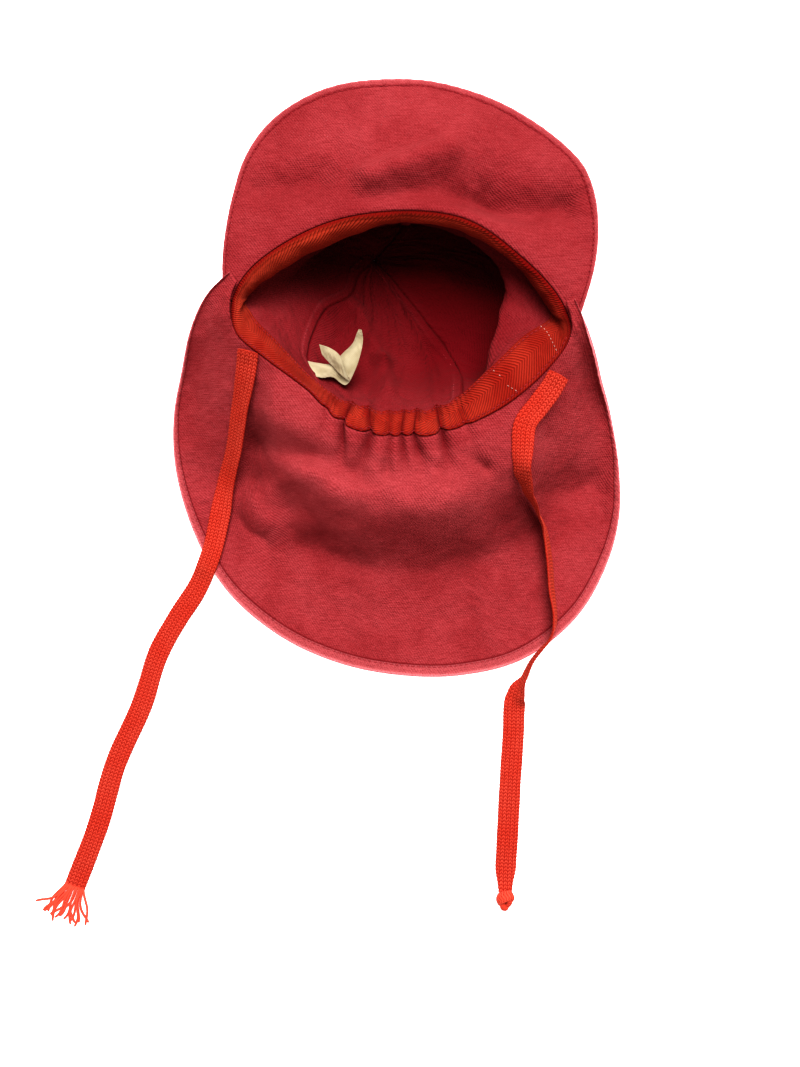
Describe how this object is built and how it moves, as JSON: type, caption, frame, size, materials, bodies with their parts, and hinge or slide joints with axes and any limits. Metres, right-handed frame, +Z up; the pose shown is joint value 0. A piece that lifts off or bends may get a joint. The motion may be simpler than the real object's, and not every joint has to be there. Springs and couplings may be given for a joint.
{
  "type": "peaked cap",
  "caption": "Child's soft peaked sun cap with a wide neck flap, gathered back and flat braided ties, lying upside down with its opening up.",
  "frame": {"origin": "on the surface the hat lies on, below the middle of its own box, the free ties left out", "axes": "+Z up out of the opening, +Y towards the peak, -Y towards the neck flap, +X to the right as seen from the flap"},
  "size_m": [0.3068, 0.4435, 0.0624],
  "materials": {
    "twill": "matt washed cotton twill",
    "tape": "matt woven cotton tape",
    "braid": "matt flat cotton braid",
    "label": "soft satin ribbon"
  },
  "bodies": {
    "root": {"crown_panel_right": "twill", "crown_panel_back": "twill", "crown_panel_left": "twill", "head_tape": "tape", "peak": "twill", "neck_flap": "twill", "tie_left": "braid", "tie_right": "braid", "tie_knot": "braid", "tie_fringe": "braid", "care_label": "label"}
  },
  "joints": []
}
